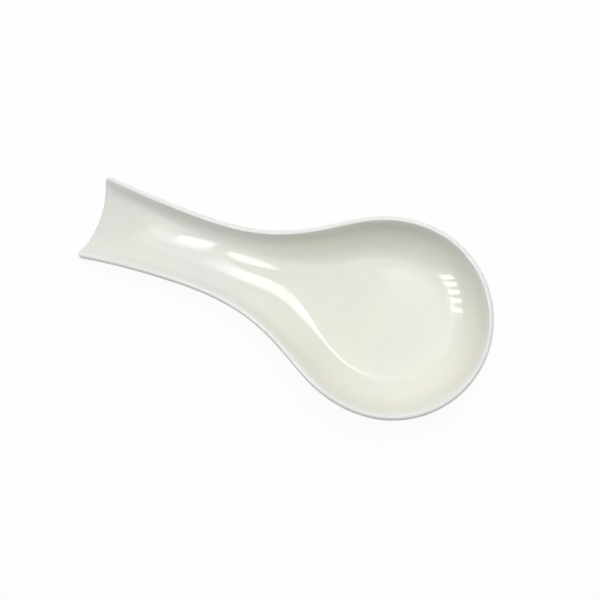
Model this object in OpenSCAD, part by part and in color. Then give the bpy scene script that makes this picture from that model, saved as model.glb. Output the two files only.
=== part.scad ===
// Spoon rest: a round bowl that runs through a neck into an arched trough handle with a fishtail end.
// It is one glazed ceramic shell of even thickness with a round rim, standing on two dry clay feet.
// +X points from the handle to the bowl, +Z is up, and the table is at Z = 0.

/* [Overall] */
// Length from the tail corners to the far side of the bowl
overall_l = 244; // [224:1:268]
// Height of the bowl's rim above the table
overall_h = 24; // [20:0.5:30]
// Thickness of the glazed wall, which is also the width of its round rim
wall_t = 3; // [2.4:0.1:3.8]

/* [Bowl] */
// Outer width of the bowl
bowl_d = 116.8; // [104:0.2:130]
// Plan width of the curved wall, from the middle of the rim in to the flat floor
wall_reach = 27.5; // [22:0.5:33]

/* [Neck and handle] */
// Distance from the middle of the bowl back to the waist of the handle
waist_from_bowl = 119; // [108:0.2:130]
// Outer width of the handle at its waist
waist_w = 43; // [36:0.1:52]
// How far the neck curve holds the direction in which it leaves the bowl
neck_pull_bowl = 45; // [38:0.1:52]
// How far the neck curve holds the direction in which it reaches the waist
neck_pull_waist = 67.6; // [58:0.1:76]
// Radius of the flare from the waist out to the tail corners
flare_r = 488; // [340:4:700]
// Height of the rim at the top of the handle's arch
arch_rim_h = 15.7; // [13:0.1:19]
// Depth of the trough at the top of the handle's arch
arch_depth = 8; // [6.5:0.1:9.5]

/* [Tail] */
// Radius of the hollow arc that ends the tail
tail_arc_r = 62; // [46:1:90]
// Radius of the tail corners at the middle of the wall
tail_corner_r = 1.3; // [0.6:0.1:2.4]
// Length of the tail that curls down to the table
tail_curl_l = 52; // [40:1:64]
// Height of the rim at the tail corners
tail_rim_h = 9.6; // [8:0.2:12]

/* [Feet] */
// Height of the ring foot under the bowl
ring_foot_h = 3.4; // [2.4:0.1:4.4]
// Width of the ring foot's wall
ring_foot_w = 4; // [3:0.1:6]
// How far the ring foot stands in from the edge of the flat floor
ring_foot_inset = 0.4; // [0.2:0.1:2]
// Chamfer along both lower edges of the ring foot
ring_foot_chamfer = 0.6; // [0.3:0.1:1]
// Height of the small foot under the tail
tail_foot_h = 1.2; // [0.8:0.1:1.6]
// Width of the small foot under the tail
tail_foot_w = 2.2; // [1.6:0.1:2.6]
// Length of the small foot along the tail's arc
tail_foot_l = 11; // [6:0.5:14]
// Depth ground off the tail's underside, which gives the small foot its flat seat
tail_seat_cut = 0.6; // [0.4:0.05:0.9]

/* [Hidden] */

// Facets of the revolved feet
$fn = 96;

// Shapes of the sections: how sharply the bowl's wall rises, how much steeper than a plain
// parabola the trough's sides stand, and how the tail's curl builds up
bowl_power = 2.45;
trough_steep_share = 0.77;
curl_power = 2.65;

// Where the bowl's section turns into the trough's, and where the floor climbs to the arch,
// as shares of the way from the bowl's middle to the waist
blend_start_share = 0.03;
blend_end_share = 0.94;
climb_start_share = 0.49;
climb_end_share = 1.01;

// Steps round half of the rim: bowl, neck, flare, tail corner and tail arc
bowl_steps = 22;
neck_steps = 22;
flare_steps = 10;
corner_steps = 4;
end_steps = 7;
// Rings from the rim in to the spine, how they crowd towards the rim, and steps over the rim
rings = 12;
ring_power = 1.25;
rim_steps = 6;
// Halvings used to find a station on the neck curve
search_steps = 22;

// The middle of the wall, which every surface is offset from
half_t = wall_t / 2;
bowl_r = bowl_d / 2 - half_t;
waist_r = waist_w / 2 - half_t;
flare_mid_r = flare_r + half_t;
end_mid_r = tail_arc_r + half_t;

// Heights of the middle of the wall
bowl_floor_z = ring_foot_h + half_t;
bowl_rim_z = overall_h - half_t;
arch_rim_z = arch_rim_h - half_t;
arch_floor_z = arch_rim_z - arch_depth;
tail_rim_z = tail_rim_h - half_t;
tail_floor_z = tail_foot_h + half_t - tail_seat_cut;

// Plan of the tail, with X counted from the middle of the bowl: the corner touches both the
// flare's circle and the end arc's circle
corner_x = bowl_d / 2 - overall_l + half_t + tail_corner_r;
flare_c = [-waist_from_bowl, waist_r + flare_mid_r];
corner_y = flare_c.y - sqrt((flare_mid_r + tail_corner_r) ^ 2 - (corner_x - flare_c.x) ^ 2);
corner_c = [corner_x, corner_y];
end_c = [corner_x - sqrt((end_mid_r + tail_corner_r) ^ 2 - corner_y ^ 2), 0];
tail_x = end_c.x + end_mid_r;
flare_sweep = asin((flare_c.x - corner_x) / (flare_mid_r + tail_corner_r));
corner_start = 90 - flare_sweep;
end_sweep = asin(corner_y / (end_mid_r + tail_corner_r));
corner_sweep = 180 + end_sweep - corner_start;

// The bowl's middle in the part's frame, whose origin is under the middle of the overall length
bowl_x = overall_l / 2 - bowl_d / 2;

// Step used to measure slopes
probe = wall_t / 100;

// Plan curves
function dir(a) = [cos(a), sin(a)];
function cubic(a, b, c, d, t) =
    a * (1 - t) ^ 3 + 3 * b * t * (1 - t) ^ 2 + 3 * c * t ^ 2 * (1 - t) + d * t ^ 3;
function neck_x(t) =
    -cubic(0, neck_pull_bowl, waist_from_bowl - neck_pull_waist, waist_from_bowl, t);
function neck_y(t) = cubic(bowl_r, bowl_r, waist_r, waist_r, t);
function neck_t(x, low = 0, high = 1, left = search_steps) =
    let(t = (low + high) / 2)
    left == 0 ? t
    : neck_x(t) > x ? neck_t(x, t, high, left - 1)
    : neck_t(x, low, t, left - 1);
function half_width(x) =
    x > flare_c.x ? neck_y(neck_t(x))
    : flare_c.y - sqrt(flare_mid_r ^ 2 - (x - flare_c.x) ^ 2);
function width_slope(x) = (half_width(x + probe) - half_width(x - probe)) / (2 * probe);

// Long profiles of the floor and the rim
function ease(share) =
    let(t = min(max(share, 0), 1))
    t ^ 3 * (10 - 15 * t + 6 * t ^ 2);
function way(x, start_share, end_share) =
    ease((-x / waist_from_bowl - start_share) / (end_share - start_share));
function curl(x) = max(0, (tail_x + tail_curl_l - x) / tail_curl_l) ^ curl_power;
function floor_z(x) =
    bowl_floor_z
    + (arch_floor_z - bowl_floor_z) * way(x, climb_start_share, climb_end_share)
    - (arch_floor_z - tail_floor_z) * curl(x);
function rim_z(x) =
    bowl_rim_z
    + (arch_rim_z - bowl_rim_z) * way(x, 0, climb_end_share)
    - (arch_rim_z - tail_rim_z) * curl(x);

// Cross sections, from 0 on the floor to 1 at the rim
function inset(x, y) =
    x >= 0 ? bowl_r - norm([x, y])
    : (half_width(x) - abs(y)) / sqrt(1 + width_slope(x) ^ 2);
function bowl_section(x, y) = max(0, 1 - inset(x, y) / wall_reach) ^ bowl_power;
function trough_section(x, y) =
    let(q = (y / half_width(x)) ^ 2)
    q * (1 - trough_steep_share + trough_steep_share * q);
function section(x, y) =
    let(b = way(x, blend_start_share, blend_end_share))
    b == 0 ? bowl_section(x, y)
    : b == 1 ? trough_section(x, y)
    : (1 - b) * bowl_section(x, y) + b * trough_section(x, y);

// The middle of the wall and its normal
function mid_z(x, y) =
    let(f = floor_z(x))
    f + (rim_z(x) - f) * section(x, y);
function unit(v) = v / norm(v);
function mid_normal(x, y) = unit([
    mid_z(x - probe, y) - mid_z(x + probe, y),
    mid_z(x, y - probe) - mid_z(x, y + probe),
    2 * probe
]);

// Half of the rim in plan, from the far side of the bowl round to the middle of the tail
edge = concat(
    [for (i = [0:bowl_steps - 1]) bowl_r * dir(90 * i / bowl_steps)],
    [for (i = [0:neck_steps - 1]) [neck_x(i / neck_steps), neck_y(i / neck_steps)]],
    [for (i = [0:flare_steps - 1]) flare_c + flare_mid_r * dir(270 - flare_sweep * i / flare_steps)],
    [for (i = [0:corner_steps - 1])
        corner_c + tail_corner_r * dir(corner_start + corner_sweep * i / corner_steps)],
    [for (i = [0:end_steps]) end_c + end_mid_r * dir(end_sweep * (1 - i / end_steps))]
);
half_n = len(edge) - 1;
loop_n = 2 * half_n;

// The spine that the rings shrink to: the bowl's middle, then the axis, then one point in the tail
spine_end_x = tail_x + waist_r;
fan_k = len([for (p = edge) if (p.x > spine_end_x) 1]);
spine = concat([0], [for (k = [bowl_steps + 1:fan_k - 1]) edge[k].x], [spine_end_x]);
function spine_at(k) = min(max(k - bowl_steps, 0), fan_k - bowl_steps);

// Points of the middle surface with their normals, for rings out of the rim and for the spine
function ring_share(j) = 1 - (j / rings) ^ ring_power;
function mid_point(x, y) = [[x, y, mid_z(x, y)], mid_normal(x, y)];
ring_mid = [for (j = [0:rings - 1]) [for (k = [0:half_n])
    let(s = [spine[spine_at(k)], 0], p = s + ring_share(j) * (edge[k] - s)) mid_point(p.x, p.y)]];
spine_mid = [for (x = spine) mid_point(x, 0)];

// The underside of the tail is ground flat at the height of its foot
function ground(p) = p.x < tail_x + tail_curl_l ? [p.x, p.y, max(p.z, tail_foot_h)] : p;
// Offset by a share of half the wall: 1 is the inside, -1 the underside
function wall_point(m, side) = ground(m[0] + side * half_t * m[1]);

// Outward direction at the rim, square to the rim's run and to the wall's normal
function flip(p) = [p.x, -p.y, p.z];
function edge_point(k) = k < 0 ? flip(ring_mid[0][-k][0])
    : k > half_n ? flip(ring_mid[0][loop_n - k][0])
    : ring_mid[0][k][0];
function outward(k) = unit(cross(edge_point(k + 1) - edge_point(k - 1), ring_mid[0][k][1]));
function rim_point(k, step) =
    let(a = 90 - 180 * step / rim_steps, m = ring_mid[0][k])
    ground(m[0] + half_t * (cos(a) * outward(k) + sin(a) * m[1]));

// A row of points round the whole loop, from its half
function whole(row) = [for (i = [0:loop_n - 1]) i <= half_n ? row[i] : flip(row[loop_n - i])];
function skin(side) = concat(
    [for (j = [0:rings - 1]) each whole([for (m = ring_mid[j]) wall_point(m, side)])],
    [for (m = spine_mid) wall_point(m, side)]
);
skin_n = rings * loop_n + len(spine);
dish_points = concat(
    skin(1),
    skin(-1),
    [for (s = [1:rim_steps - 1]) each whole([for (k = [0:half_n]) rim_point(k, s)])]
);

// Index of a point in a skin, of its twin across the axis on the spine, and of a row of the rim
function next(i) = (i + 1) % loop_n;
function skin_at(j, i) =
    j < rings ? j * loop_n + i
    : rings * loop_n + spine_at(i <= half_n ? i : loop_n - i);
function rim_at(s, i) =
    s == 0 ? i
    : s == rim_steps ? skin_n + i
    : 2 * skin_n + (s - 1) * loop_n + i;

// Two triangles for four corners, or one where the last two corners are the same point
function tiles(a, b, c, d) = c == d ? [[a, b, c]] : [[a, b, c], [a, c, d]];
function shifted(f, by) = [for (v = f) v + by];
function turned(f) = [f[0], f[2], f[1]];
skin_faces = [for (j = [0:rings - 1]) for (i = [0:loop_n - 1])
    each tiles(skin_at(j, next(i)), skin_at(j, i), skin_at(j + 1, i), skin_at(j + 1, next(i)))];
rim_faces = [for (s = [0:rim_steps - 1]) for (i = [0:loop_n - 1])
    each tiles(rim_at(s, i), rim_at(s, next(i)), rim_at(s + 1, next(i)), rim_at(s + 1, i))];
dish_faces = concat(
    skin_faces,
    [for (f = skin_faces) shifted(turned(f), skin_n)],
    rim_faces
);

module at_bowl() {
    translate([bowl_x, 0, 0]) children();
}

// The glazed shell: bowl, neck, trough handle and rim in one even wall
module dish() {
    color([0.94, 0.93, 0.89])
    at_bowl()
    polyhedron(dish_points, dish_faces);
}

// Dry clay ring under the flat floor of the bowl
module ring_foot() {
    r_out = bowl_r - wall_reach - ring_foot_inset;
    r_in = r_out - ring_foot_w;
    c = ring_foot_chamfer;
    color([0.86, 0.8, 0.7])
    at_bowl()
    rotate_extrude()
    polygon([
        [r_in, ring_foot_h],
        [r_in, c],
        [r_in + c, 0],
        [r_out - c, 0],
        [r_out, c],
        [r_out, ring_foot_h]
    ]);
}

// Dry clay foot with round ends, which follows the hollow arc of the tail
module tail_foot() {
    half_w = tail_foot_w / 2;
    half_sweep = asin((tail_foot_l / 2 - half_w) / end_mid_r);
    color([0.86, 0.8, 0.7])
    at_bowl()
    translate([end_c.x, 0, 0]) {
        rotate([0, 0, -half_sweep])
        rotate_extrude(angle = 2 * half_sweep)
        translate([end_mid_r - half_w, 0])
        square([tail_foot_w, tail_foot_h]);
        for (side = [-1, 1])
            rotate([0, 0, side * half_sweep])
            translate([end_mid_r, 0, 0])
            cylinder(h = tail_foot_h, d = tail_foot_w);
    }
}

dish();
ring_foot();
tail_foot();
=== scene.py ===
# Spoon rest: one glazed ceramic shell with a round bowl, an arched trough handle and a fishtail
# end, standing on two dry clay feet. Lengths are in metres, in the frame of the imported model.
import math

import bmesh
import bpy
import numpy as np
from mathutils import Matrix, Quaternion, Vector


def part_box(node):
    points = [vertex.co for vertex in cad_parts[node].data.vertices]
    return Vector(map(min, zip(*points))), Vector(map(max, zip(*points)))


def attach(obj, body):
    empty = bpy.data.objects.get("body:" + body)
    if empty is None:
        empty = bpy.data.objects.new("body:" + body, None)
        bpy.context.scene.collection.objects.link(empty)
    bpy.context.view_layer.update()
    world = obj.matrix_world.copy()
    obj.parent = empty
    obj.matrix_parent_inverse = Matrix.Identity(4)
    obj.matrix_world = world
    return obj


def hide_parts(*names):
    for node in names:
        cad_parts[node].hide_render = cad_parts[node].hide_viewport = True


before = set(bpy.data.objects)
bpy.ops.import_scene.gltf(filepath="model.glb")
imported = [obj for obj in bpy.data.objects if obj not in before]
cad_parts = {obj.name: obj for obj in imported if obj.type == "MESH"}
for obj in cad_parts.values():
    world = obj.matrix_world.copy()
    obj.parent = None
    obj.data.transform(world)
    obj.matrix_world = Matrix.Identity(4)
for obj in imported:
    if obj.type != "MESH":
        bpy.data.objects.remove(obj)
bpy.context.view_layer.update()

# The camera: how far it is turned round the object and raised, its distance from the point that
# it looks at, and its lens
VIEW_AZIMUTH = 19.41
VIEW_ELEVATION = 84.0
VIEW_DISTANCE = 0.75
VIEW_TARGET = Vector((0.0101, -0.0066, 0.012))
VIEW_LENS = 77.50
SENSOR = 36.0
VIEW_CLIP = (0.01, 20)

# The shell's wall, and sizes that follow from the solids
WALL = 0.003
HALF = WALL / 2
dish_low, dish_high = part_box("dish")
LENGTH = dish_high.x - dish_low.x
BOWL_WIDTH = dish_high.y - dish_low.y
HEIGHT = dish_high.z
RING_FOOT_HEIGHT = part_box("ring_foot")[1].z
TAIL_FOOT_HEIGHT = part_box("tail_foot")[1].z

# Plan of the neck, the handle and the tail
WALL_REACH = 0.0275
WAIST_FROM_BOWL = 0.119
WAIST_WIDTH = 0.043
NECK_PULL_BOWL = 0.045
NECK_PULL_WAIST = 0.0676
FLARE_RADIUS = 0.488
TAIL_ARC_RADIUS = 0.062
TAIL_CORNER_RADIUS = 0.0013

# Long profile of the handle
ARCH_RIM_HEIGHT = 0.0157
ARCH_DEPTH = 0.008
TAIL_CURL_LENGTH = 0.052
TAIL_RIM_HEIGHT = 0.0096
TAIL_SEAT_CUT = 0.0006

# Shapes of the sections: powers, and shares of the way from the bowl's middle to the waist
BOWL_POWER = 2.45
TROUGH_STEEP_SHARE = 0.77
CURL_POWER = 2.65
BLEND_SHARES = (0.03, 0.94)
CLIMB_SHARES = (0.49, 1.01)

# Steps round half of the rim, rings from the rim to the spine, and steps over the rim
BOWL_STEPS = 72
NECK_STEPS = 72
FLARE_STEPS = 32
CORNER_STEPS = 12
END_STEPS = 22
RINGS = 56
RING_POWER = 1.25
RIM_STEPS = 16

# Points in the neck's table, half of the step that slopes are taken over, and the distance under
# which points are joined
NECK_SAMPLES = 4000
SLOPE_STEP = HALF / 50
JOIN_DISTANCE = 1e-7

# Heights of the middle of the wall
BOWL_R = BOWL_WIDTH / 2 - HALF
WAIST_R = WAIST_WIDTH / 2 - HALF
FLARE_R = FLARE_RADIUS + HALF
END_R = TAIL_ARC_RADIUS + HALF
BOWL_FLOOR_Z = RING_FOOT_HEIGHT + HALF
BOWL_RIM_Z = HEIGHT - HALF
ARCH_RIM_Z = ARCH_RIM_HEIGHT - HALF
ARCH_FLOOR_Z = ARCH_RIM_Z - ARCH_DEPTH
TAIL_RIM_Z = TAIL_RIM_HEIGHT - HALF
TAIL_FLOOR_Z = TAIL_FOOT_HEIGHT + HALF - TAIL_SEAT_CUT

# Plan of the tail, with X counted from the middle of the bowl
BOWL_X = LENGTH / 2 - BOWL_WIDTH / 2
CORNER_X = BOWL_WIDTH / 2 - LENGTH + HALF + TAIL_CORNER_RADIUS
FLARE_C = np.array([-WAIST_FROM_BOWL, WAIST_R + FLARE_R])
CORNER_C = np.array([
    CORNER_X,
    FLARE_C[1] - math.sqrt((FLARE_R + TAIL_CORNER_RADIUS) ** 2 - (CORNER_X - FLARE_C[0]) ** 2),
])
END_C = np.array([
    CORNER_X - math.sqrt((END_R + TAIL_CORNER_RADIUS) ** 2 - CORNER_C[1] ** 2),
    0.0,
])
TAIL_X = END_C[0] + END_R
FLARE_SWEEP = math.asin((FLARE_C[0] - CORNER_X) / (FLARE_R + TAIL_CORNER_RADIUS))
END_SWEEP = math.asin(CORNER_C[1] / (END_R + TAIL_CORNER_RADIUS))
CORNER_START = math.pi / 2 - FLARE_SWEEP
CORNER_SWEEP = math.pi + END_SWEEP - CORNER_START


def cubic(a, b, c, d, t):
    return a * (1 - t) ** 3 + 3 * b * t * (1 - t) ** 2 + 3 * c * t ** 2 * (1 - t) + d * t ** 3


def neck(t):
    """Plan of the neck's edge, from the side of the bowl to the waist."""
    x = -cubic(0, NECK_PULL_BOWL, WAIST_FROM_BOWL - NECK_PULL_WAIST, WAIST_FROM_BOWL, t)
    return np.stack([x, cubic(BOWL_R, BOWL_R, WAIST_R, WAIST_R, t)], -1)


neck_table = neck(np.linspace(0, 1, NECK_SAMPLES))


def arc(centre, radius, start, sweep, steps, closed=False):
    a = start + sweep * np.arange(steps + closed) / steps
    return centre + radius * np.stack([np.cos(a), np.sin(a)], -1)


def half_edge():
    """Half of the rim in plan, from the far side of the bowl round to the middle of the tail."""
    return np.concatenate([
        arc(np.zeros(2), BOWL_R, 0, math.pi / 2, BOWL_STEPS),
        neck(np.arange(NECK_STEPS) / NECK_STEPS),
        arc(FLARE_C, FLARE_R, 1.5 * math.pi, -FLARE_SWEEP, FLARE_STEPS),
        arc(CORNER_C, TAIL_CORNER_RADIUS, CORNER_START, CORNER_SWEEP, CORNER_STEPS),
        arc(END_C, END_R, END_SWEEP, -END_SWEEP, END_STEPS, closed=True),
    ])


def half_width(x):
    flare = FLARE_C[1] - np.sqrt(FLARE_R ** 2 - np.minimum(x - FLARE_C[0], 0) ** 2)
    return np.where(x > FLARE_C[0], np.interp(-x, -neck_table[:, 0], neck_table[:, 1]), flare)


def ease(share):
    t = np.clip(share, 0, 1)
    return t ** 3 * (10 - 15 * t + 6 * t ** 2)


def way(x, start_share, end_share):
    return ease((-x / WAIST_FROM_BOWL - start_share) / (end_share - start_share))


def curl(x):
    return np.maximum(0, (TAIL_X + TAIL_CURL_LENGTH - x) / TAIL_CURL_LENGTH) ** CURL_POWER


def floor_z(x):
    climb = (ARCH_FLOOR_Z - BOWL_FLOOR_Z) * way(x, *CLIMB_SHARES)
    return BOWL_FLOOR_Z + climb - (ARCH_FLOOR_Z - TAIL_FLOOR_Z) * curl(x)


def rim_z(x):
    fall = (ARCH_RIM_Z - BOWL_RIM_Z) * way(x, 0, CLIMB_SHARES[1])
    return BOWL_RIM_Z + fall - (ARCH_RIM_Z - TAIL_RIM_Z) * curl(x)


def inset(x, y):
    """Distance in from the edge, in plan."""
    slope = (half_width(x + SLOPE_STEP) - half_width(x - SLOPE_STEP)) / (2 * SLOPE_STEP)
    beside = (half_width(x) - np.abs(y)) / np.sqrt(1 + slope ** 2)
    return np.where(x >= 0, BOWL_R - np.hypot(x, y), beside)


def section(x, y):
    """Cross section of the wall, from 0 on the floor to 1 at the rim."""
    bowl = np.maximum(0, 1 - inset(x, y) / WALL_REACH) ** BOWL_POWER
    q = (y / half_width(x)) ** 2
    trough = q * (1 - TROUGH_STEEP_SHARE + TROUGH_STEEP_SHARE * q)
    b = way(x, *BLEND_SHARES)
    return (1 - b) * bowl + b * trough


def mid_z(x, y):
    return floor_z(x) + (rim_z(x) - floor_z(x)) * section(x, y)


def unit(v):
    return v / np.linalg.norm(v, axis=-1, keepdims=True)


def mid_normal(x, y):
    along = mid_z(x - SLOPE_STEP, y) - mid_z(x + SLOPE_STEP, y)
    across = mid_z(x, y - SLOPE_STEP) - mid_z(x, y + SLOPE_STEP)
    return unit(np.stack([along, across, np.full(x.shape, 2 * SLOPE_STEP)], -1))


def whole(half):
    """The whole loop of the rim, from its half."""
    return np.concatenate([half, half[-2:0:-1] * [1, -1]])


# Where spoons wear the bowl's floor, in from the edge and along the dish, and the stretch of the
# neck where the coat of the bowl gives way to the paler one of the handle
WEAR_INSET = (0.0185, 0.022)
WEAR_ALONG = (-0.024, 0.008)
COAT_ALONG = (-0.055, -0.130)


def fade(value, ends):
    """0 to 1 as the value goes from one end to the other."""
    return ease((value - ends[0]) / (ends[1] - ends[0]))


def wear(rows, depth):
    """How worn the glaze is, 0 to 1: spoons rub the floor of the bowl from gloss to satin."""
    return fade(depth, WEAR_INSET) * fade(rows[..., 0], WEAR_ALONG)


# The lip: how much fuller the rim is on its inner side, how far in that fades out, and how far the
# tip of the rim draws back where it leans most
LIP = 0.00028
LIP_REACH = 0.007
RIM_SINK = 0.00026


def rim_rows(middle, normal):
    """Rows of points over the rim, from its inner side to its outer one."""
    run = np.roll(middle, -1, 0) - np.roll(middle, 1, 0)
    outward = unit(np.cross(run, normal))
    reach = HALF - RIM_SINK * np.abs(outward[:, 2:])
    turn = np.linspace(math.pi / 2, -math.pi / 2, RIM_STEPS + 1)[1:-1, None, None]
    centre = middle + LIP / 2 * normal
    return centre + reach * np.cos(turn) * outward + (HALF + LIP / 2) * np.sin(turn) * normal


def shell_rows():
    """Rows of points round the loop: in over the top skin, round the rim, out over the underside."""
    edge = whole(half_edge())
    spine = np.stack([np.clip(edge[:, 0], TAIL_X + WAIST_R, 0), np.zeros(len(edge))], -1)
    shares = 1 - (np.arange(RINGS + 1) / RINGS) ** RING_POWER
    plan = spine + shares[:, None, None] * (edge - spine)
    x, y = plan[..., 0], plan[..., 1]
    middle = np.stack([x, y, mid_z(x, y)], -1)
    normal = mid_normal(x, y)
    lip = LIP * ease(1 - np.linalg.norm(plan - edge, axis=-1, keepdims=True) / LIP_REACH)
    rim = rim_rows(middle[0], normal[0])
    rows = np.concatenate([(middle + (HALF + lip) * normal)[::-1], rim, middle - HALF * normal])
    ground = (rows[..., 0] < TAIL_X + TAIL_CURL_LENGTH) & (rows[..., 2] < TAIL_FOOT_HEIGHT)
    rows[..., 2] = np.where(ground, TAIL_FOOT_HEIGHT, rows[..., 2])
    depth = np.concatenate([inset(x, y)[::-1], np.zeros(rim.shape[:2]), inset(x, y)])
    layers = {
        "rim_distance": depth,
        "wear": wear(rows, depth),
        "handle_share": fade(rows[..., 0], COAT_ALONG),
    }
    return rows + [BOWL_X, 0, 0], layers


def grid_mesh(name, rows, layers):
    """A closed mesh from rows of points, with a number at each point for each named layer."""
    n_rows, n = rows.shape[:2]
    at = np.arange(n_rows * n).reshape(n_rows, n)
    quads = np.stack([at[:-1], at[1:], np.roll(at[1:], -1, 1), np.roll(at[:-1], -1, 1)], -1)
    mesh = bpy.data.meshes.new(name)
    mesh.from_pydata(rows.reshape(-1, 3).tolist(), [], quads.reshape(-1, 4).tolist())
    for layer_name, values in layers.items():
        layer = mesh.attributes.new(layer_name, "FLOAT", "POINT")
        layer.data.foreach_set("value", values.reshape(-1).astype(np.float32))
    bm = bmesh.new()
    bm.from_mesh(mesh)
    bmesh.ops.remove_doubles(bm, verts=bm.verts, dist=JOIN_DISTANCE)
    bmesh.ops.dissolve_degenerate(bm, edges=bm.edges, dist=JOIN_DISTANCE)
    bmesh.ops.recalc_face_normals(bm, faces=bm.faces)
    for face in bm.faces:
        face.smooth = True
    bm.to_mesh(mesh)
    bm.free()
    return mesh


class Tree:
    """Short names for building a node tree from nothing."""

    def __init__(self, owner, output="ShaderNodeOutputMaterial"):
        owner.use_nodes = True
        self.tree = owner.node_tree
        self.tree.nodes.clear()
        self.output = self.add(output)

    def add(self, kind, **inputs):
        node = self.tree.nodes.new(kind)
        for key, value in inputs.items():
            node.inputs[key.replace("_", " ")].default_value = value
        return node

    def link(self, out, into):
        self.tree.links.new(out, into)

    def show(self, shader):
        self.link(shader.outputs[0], self.output.inputs["Surface"])

    def attribute(self, name):
        node = self.add("ShaderNodeAttribute")
        node.attribute_name = name
        return node.outputs["Fac"]

    def noise(self, size, detail, roughness=0.5):
        """Noise whose blotches are about so large, in metres, fixed to the object."""
        node = self.add("ShaderNodeTexNoise", Scale=1 / size, Detail=detail, Roughness=roughness)
        self.link(self.add("ShaderNodeTexCoord").outputs["Object"], node.inputs["Vector"])
        return node.outputs["Fac"]

    def ramp(self, value, low, low_colour, high, high_colour):
        """A colour that runs from one to the other as the value goes from low to high."""
        node = self.add("ShaderNodeValToRGB")
        self.link(value, node.inputs["Fac"])
        for element, place, colour in zip(
            node.color_ramp.elements, (low, high), (low_colour, high_colour)
        ):
            element.position = place
            element.color = (*colour, 1)
        return node.outputs["Color"]

    def spread(self, value, low, high, to_low, to_high):
        node = self.add("ShaderNodeMapRange")
        for key, number in zip(
            ("From Min", "From Max", "To Min", "To Max"), (low, high, to_low, to_high)
        ):
            node.inputs[key].default_value = number
        self.link(value, node.inputs["Value"])
        return node.outputs["Result"]

    def mix_colours(self, share, a, b):
        node = self.add("ShaderNodeMix")
        node.data_type = "RGBA"
        for value, name in ((share, "Factor_Float"), (a, "A_Color"), (b, "B_Color")):
            socket = next(i for i in node.inputs if i.identifier == name)
            if isinstance(value, tuple):
                socket.default_value = (*value, 1)
            else:
                self.link(value, socket)
        return next(o for o in node.outputs if o.identifier == "Result_Color")

    def mix_shaders(self, share, a, b):
        node = self.add("ShaderNodeMixShader")
        self.link(share, node.inputs[0])
        self.link(a.outputs[0], node.inputs[1])
        self.link(b.outputs[0], node.inputs[2])
        return node

    def math(self, operation, a, b):
        node = self.add("ShaderNodeMath")
        node.operation = operation
        self.link(a, node.inputs[0])
        if isinstance(b, float):
            node.inputs[1].default_value = b
        else:
            self.link(b, node.inputs[1])
        return node.outputs[0]

    def bump(self, height, depth, before=None):
        node = self.add("ShaderNodeBump", Strength=1.0, Distance=depth)
        self.link(height, node.inputs["Height"])
        if before is not None:
            self.link(before, node.inputs["Normal"])
        return node.outputs["Normal"]

    def background_ray(self):
        """1 for a ray that sees the background, directly or in gloss or glass, and 0 for others."""
        path = self.add("ShaderNodeLightPath")
        seen = self.math("MAXIMUM", path.outputs["Is Camera Ray"], path.outputs["Is Glossy Ray"])
        return self.math("MAXIMUM", seen, path.outputs["Is Transmission Ray"])


# Colours of the glaze where it pools in the clouds, between them and at the thin edge, and the
# distance over which the edge's colour fades. The edge's pale colour is partly the thin glaze's own
# tone and partly a painted highlight along the rim
GLAZE_POOLED = (0.835, 0.833, 0.733)
GLAZE_PLAIN = (0.800, 0.792, 0.735)
HANDLE_POOLED = (0.826, 0.824, 0.757)
HANDLE_PLAIN = (0.788, 0.781, 0.748)
THIN_GLAZE_AND_RIM_HIGHLIGHT = (0.880, 0.871, 0.845)
RIM_FADE = 0.0028

# Roughness of fresh and of worn glaze, and sizes and depths of its clouds, waves and orange peel
GLAZE_IOR = 1.5
GLOSS = 0.05
SATIN = 0.22
CLOUD_SIZE = 0.035
CLOUD_RANGE = (0.3, 0.7)
WAVE_SIZE = 0.020
WAVE_DEPTH = 0.00006
PEEL_SIZE = 0.0016
PEEL_DEPTH = 0.0000008


def glaze_material():
    """Clear gloss glaze over ivory stoneware: faint clouds, a wavy surface, and a pale rim that is thin
    glaze with a painted highlight.
    """
    material = bpy.data.materials.new("ivory_glaze")
    t = Tree(material)
    shader = t.add("ShaderNodeBsdfPrincipled", IOR=GLAZE_IOR)
    noise = t.noise(CLOUD_SIZE, detail=4, roughness=0.55)
    low, high = CLOUD_RANGE
    bowl = t.ramp(noise, low, GLAZE_PLAIN, high, GLAZE_POOLED)
    handle = t.ramp(noise, low, HANDLE_PLAIN, high, HANDLE_POOLED)
    clouds = t.mix_colours(t.attribute("handle_share"), bowl, handle)
    # Toward the rim the colour turns paler: partly the thin glaze's tone, partly a painted highlight
    rim = t.spread(t.attribute("rim_distance"), 0, RIM_FADE, 1, 0)
    t.link(t.mix_colours(rim, clouds, THIN_GLAZE_AND_RIM_HIGHLIGHT), shader.inputs["Base Color"])
    t.link(t.spread(t.attribute("wear"), 0, 1, GLOSS, SATIN), shader.inputs["Roughness"])
    waves = t.bump(t.noise(WAVE_SIZE, detail=1), WAVE_DEPTH)
    peel = t.bump(t.noise(PEEL_SIZE, detail=2), PEEL_DEPTH, waves)
    t.link(peel, shader.inputs["Normal"])
    t.show(shader)
    return material


CLAY_DARK = (0.60, 0.52, 0.42)
CLAY_LIGHT = (0.78, 0.72, 0.62)
CLAY_ROUGHNESS = 0.9
CLAY_IOR = 1.45
SPECK_SIZE = 0.0009
SPECK_RANGE = (0.35, 0.55)
PIT_SIZE = 0.0006
PIT_DEPTH = 0.00008


def clay_material():
    """Bare fired clay: speckled, rough and finely pitted."""
    material = bpy.data.materials.new("dry_clay")
    t = Tree(material)
    shader = t.add("ShaderNodeBsdfPrincipled", Roughness=CLAY_ROUGHNESS, IOR=CLAY_IOR)
    low, high = SPECK_RANGE
    specks = t.ramp(t.noise(SPECK_SIZE, detail=5, roughness=0.7), low, CLAY_DARK, high, CLAY_LIGHT)
    t.link(specks, shader.inputs["Base Color"])
    t.link(t.bump(t.noise(PIT_SIZE, detail=4, roughness=0.7), PIT_DEPTH), shader.inputs["Normal"])
    t.show(shader)
    return material


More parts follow.
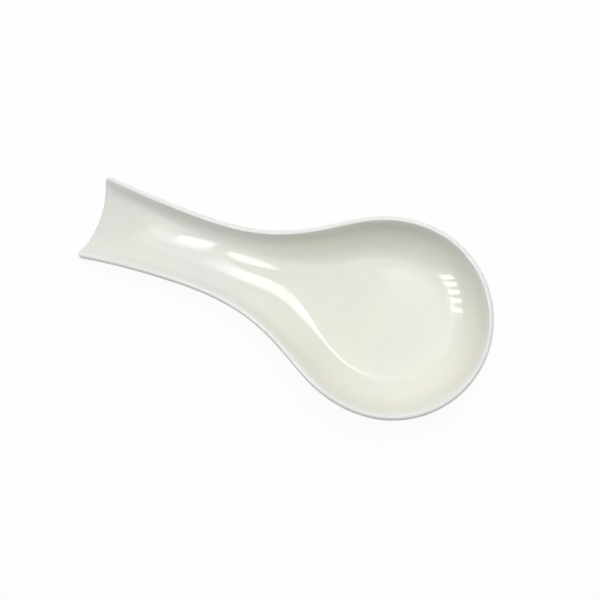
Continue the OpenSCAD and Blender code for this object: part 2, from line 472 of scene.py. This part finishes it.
def make_shell():
    rows, layers = shell_rows()
    shell = bpy.data.objects.new("glazed_shell", grid_mesh("glazed_shell", rows, layers))
    bpy.context.scene.collection.objects.link(shell)
    shell.data.materials.append(glaze_material())
    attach(shell, "root")
    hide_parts("dish")
    return shell


def finish_feet():
    clay = clay_material()
    for name in ("ring_foot", "tail_foot"):
        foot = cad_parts[name]
        foot.data.materials.clear()
        foot.data.materials.append(clay)


# The photograph's right and far sides, level on the table, and the way back to the camera
VIEW_SIDE = math.radians(VIEW_AZIMUTH)
VIEW_RISE = math.radians(VIEW_ELEVATION)
VIEW_RIGHT = Vector((math.cos(VIEW_SIDE), math.sin(VIEW_SIDE), 0))
VIEW_FAR = Vector((-math.sin(VIEW_SIDE), math.cos(VIEW_SIDE), 0))
VIEW_BACK = VIEW_FAR * -math.cos(VIEW_RISE) + Vector((0, 0, math.sin(VIEW_RISE)))


def make_camera():
    data = bpy.data.cameras.new("camera")
    data.lens = VIEW_LENS
    data.sensor_width = SENSOR
    data.clip_start, data.clip_end = VIEW_CLIP
    camera = bpy.data.objects.new("camera", data)
    bpy.context.scene.collection.objects.link(camera)
    camera.location = VIEW_TARGET + VIEW_BACK * VIEW_DISTANCE
    camera.rotation_mode = "QUATERNION"
    camera.rotation_quaternion = (-VIEW_BACK).to_track_quat("-Z", "Y")
    bpy.context.scene.camera = camera


# The floor's size and white, and the share of plain white that the camera sees in it
FLOOR_SIZE = 6.0
FLOOR_WHITE = (0.88, 0.88, 0.88, 1)
FLOOR_GLOW_SHARE = 0.94
PLAIN_WHITE = (1, 1, 1, 1)


def floor_material():
    """White floor: plain diffuse under the light, and near white to the camera with its shadow kept."""
    material = bpy.data.materials.new("floor_white")
    t = Tree(material)
    diffuse = t.add("ShaderNodeBsdfDiffuse", Color=FLOOR_WHITE)
    glow = t.add("ShaderNodeEmission", Color=PLAIN_WHITE, Strength=1)
    share = t.math("MULTIPLY", t.background_ray(), FLOOR_GLOW_SHARE)
    t.show(t.mix_shaders(share, diffuse, glow))
    return material


def make_floor():
    mesh = bpy.data.meshes.new("floor")
    h = FLOOR_SIZE / 2
    mesh.from_pydata([(-h, -h, 0), (h, -h, 0), (h, h, 0), (-h, h, 0)], [], [(0, 1, 2, 3)])
    floor = bpy.data.objects.new("floor", mesh)
    bpy.context.scene.collection.objects.link(floor)
    floor.data.materials.append(floor_material())


# The lamps alone light the object
WORLD_LIGHT = 0


def make_world():
    """White to the camera and in mirrored or clear surfaces, and no light of its own."""
    world = bpy.data.worlds.new("studio")
    bpy.context.scene.world = world
    t = Tree(world, "ShaderNodeOutputWorld")
    light = t.add("ShaderNodeBackground", Color=PLAIN_WHITE, Strength=WORLD_LIGHT)
    white = t.add("ShaderNodeBackground", Color=PLAIN_WHITE, Strength=1)
    t.show(t.mix_shaders(t.background_ray(), light, white))


UP = Vector((0, 0, 1))


def add_lamp(name, place, out, turn, width, length, radiance):
    """A rectangular lamp that faces against out, with its strength as the radiance of its face."""
    data = bpy.data.lights.new(name, "AREA")
    data.shape = "RECTANGLE"
    data.size = width
    data.size_y = length
    data.energy = radiance * math.pi * width * length
    lamp = bpy.data.objects.new(name, data)
    bpy.context.scene.collection.objects.link(lamp)
    lamp.location = place
    lamp.rotation_mode = "QUATERNION"
    lamp.rotation_quaternion = UP.rotation_difference(out) @ Quaternion(UP, turn)
    return lamp


def add_grid(lamp, spread):
    """Put a grid on a lamp, so that it shines within a cone and shows as a highlight only."""
    half = math.radians(spread) / 2
    lamp.data.spread = 2 * half
    lamp.data.energy *= 1 - half / math.tan(half)
    lamp.visible_diffuse = False


# Distance of the soft boxes from the object, and widths of the large and the small ones
SOFT_BOX_DISTANCE = 1.6
SOFT_BOX_SIZE = 1.1
KEY_SIZE = 0.5


def look_out(side, rise):
    """Direction out from the object, by its side in the photograph, 0 right and 90 far, and its rise."""
    a, e = math.radians(side), math.radians(rise)
    out = (VIEW_RIGHT * math.cos(a) + VIEW_FAR * math.sin(a)) * math.cos(e)
    out.z = math.sin(e)
    return out


def soft_box(name, side, rise, size, radiance):
    """A square soft lamp that faces the object."""
    out = look_out(side, rise)
    turn = VIEW_SIDE + math.radians(side)
    return add_lamp(name, out * SOFT_BOX_DISTANCE, out, turn, size, size, radiance)


def key_light(name, side, rise, radiance):
    """A smaller lamp that shapes the walls, and leaves no highlight of its own in the glaze."""
    soft_box(name, side, rise, KEY_SIZE, radiance).visible_glossy = False


# Full angle of the cone of a panel's grid, in degrees
PANEL_SPREAD = 28


def panel(name, place, size, turn, aim, radiance):
    """An oval grid lamp overhead, whose mirror image round the aimed point is one bright streak."""
    right, far, height = place
    centre = VIEW_RIGHT * right + VIEW_FAR * far + UP * height
    out = (centre - VIEW_RIGHT * aim[0] - VIEW_FAR * aim[1]).normalized()
    lamp = add_lamp(name, centre, out, VIEW_SIDE + math.radians(turn), *size, radiance)
    lamp.data.shape = "ELLIPSE"
    lamp.data.energy *= math.pi / 4
    add_grid(lamp, PANEL_SPREAD)


# The row of slats: how many, the parts of each, the aimed point right and far of the bowl's middle,
# their distance from it, and the arc, width and radiance of a slat. Steps run from one slat to the
# next and bends grow with the square of the way from the row's middle. Angles are in degrees.
SLATS = 5
SLAT_PARTS = 5
SLAT_AIM = (0.035, 0.012)
SLAT_DISTANCE = 1.0
SLAT_ARC = 30.0
SLAT_WIDTH = 0.052
SLAT_WIDTH_STEP = -0.0055
SLAT_SIDE = -160.8
SLAT_SIDE_STEP = -8.16
SLAT_SIDE_BEND = -0.33
SLAT_RISE = 48.4
SLAT_RISE_STEP = 2.8
SLAT_RISE_BEND = 0.33
SLAT_LEAN = 2.4
SLAT_LEAN_STEP = -2.3
SLAT_SPREAD = 24
SLAT_GLOW = 10.5

# A wider, dimmer row in the same place, for the sheen between and around the bars
SHEEN_SLATS = 7
SHEEN_ARC = 44.0
SHEEN_WIDTH = 0.105
SHEEN_GLOW = 1.7


def slat(name, aim, side, rise, lean, size, radiance):
    """An upright arc of short grid lamps that all face the aimed point."""
    out = look_out(side, rise)
    turn = Quaternion(UP, VIEW_SIDE + math.radians(side + 90 - lean))
    base = UP.rotation_difference(out) @ turn
    width, arc_degrees = size
    sweep = math.radians(arc_degrees / SLAT_PARTS)
    for k in range(SLAT_PARTS):
        facing = base @ Quaternion((1, 0, 0), sweep * (k - (SLAT_PARTS - 1) / 2))
        place = aim + facing @ UP * SLAT_DISTANCE
        length = 2 * SLAT_DISTANCE * math.tan(sweep / 2)
        lamp = add_lamp(f"{name}_{k + 1}", place, UP, 0, width, length, radiance)
        lamp.rotation_quaternion = facing
        add_grid(lamp, SLAT_SPREAD)


def slat_row(name, count, arc_degrees, width, width_step, radiance):
    """Slats side by side, all aimed at one point in the right wall of the bowl."""
    aim = Vector((BOWL_X, 0, 0)) + VIEW_RIGHT * SLAT_AIM[0] + VIEW_FAR * SLAT_AIM[1]
    for number in range(count):
        k = number - (count - 1) / 2
        side = SLAT_SIDE + k * SLAT_SIDE_STEP + k * k * SLAT_SIDE_BEND
        rise = SLAT_RISE + k * SLAT_RISE_STEP + k * k * SLAT_RISE_BEND
        lean = SLAT_LEAN + k * SLAT_LEAN_STEP
        size = (width + k * width_step, arc_degrees)
        slat(f"{name}_{number + 1}", aim, side, rise, lean, size, radiance)


def slats():
    """Upright slats on the left, mirrored as bars in the bowl's right wall, and a sheen around them."""
    slat_row("slat", SLATS, SLAT_ARC, SLAT_WIDTH, SLAT_WIDTH_STEP, SLAT_GLOW)
    slat_row("sheen", SHEEN_SLATS, SHEEN_ARC, SHEEN_WIDTH, 0, SHEEN_GLOW)


def panels():
    """The four streaks in the neck, the waist, the handle and the tail."""
    panel(
        "panel_neck", place=(0.077, 0.101, 0.450), size=(0.589, 0.069), turn=5.8,
        aim=(-0.009, 0.040), radiance=13.0,
    )
    panel(
        "panel_waist", place=(-0.042, -0.012, 0.451), size=(0.082, 0.051), turn=80.9,
        aim=(-0.016, 0.015), radiance=7.5,
    )
    panel(
        "panel_handle", place=(-0.125, 0.014, 0.518), size=(0.283, 0.040), turn=81.8,
        aim=(-0.047, 0.055), radiance=8.6,
    )
    panel(
        "panel_tail", place=(-0.171, 0.078, 0.607), size=(0.091, 0.150), turn=71.4,
        aim=(-0.086, 0.007), radiance=2.4,
    )


def make_lights():
    soft_box("overhead", side=0, rise=89.9, size=SOFT_BOX_SIZE, radiance=1.17)
    soft_box("near_fill", side=315, rise=68, size=SOFT_BOX_SIZE, radiance=0.68)
    key_light("far_key", side=65, rise=66, radiance=16.1)
    key_light("far_low_key", side=65, rise=30, radiance=5.1)
    key_light("left_key", side=170, rise=30, radiance=7.2)
    panels()
    slats()


make_camera()
make_shell()
finish_feet()
make_floor()
make_world()
make_lights()
bpy.context.scene.view_settings.view_transform = "Standard"
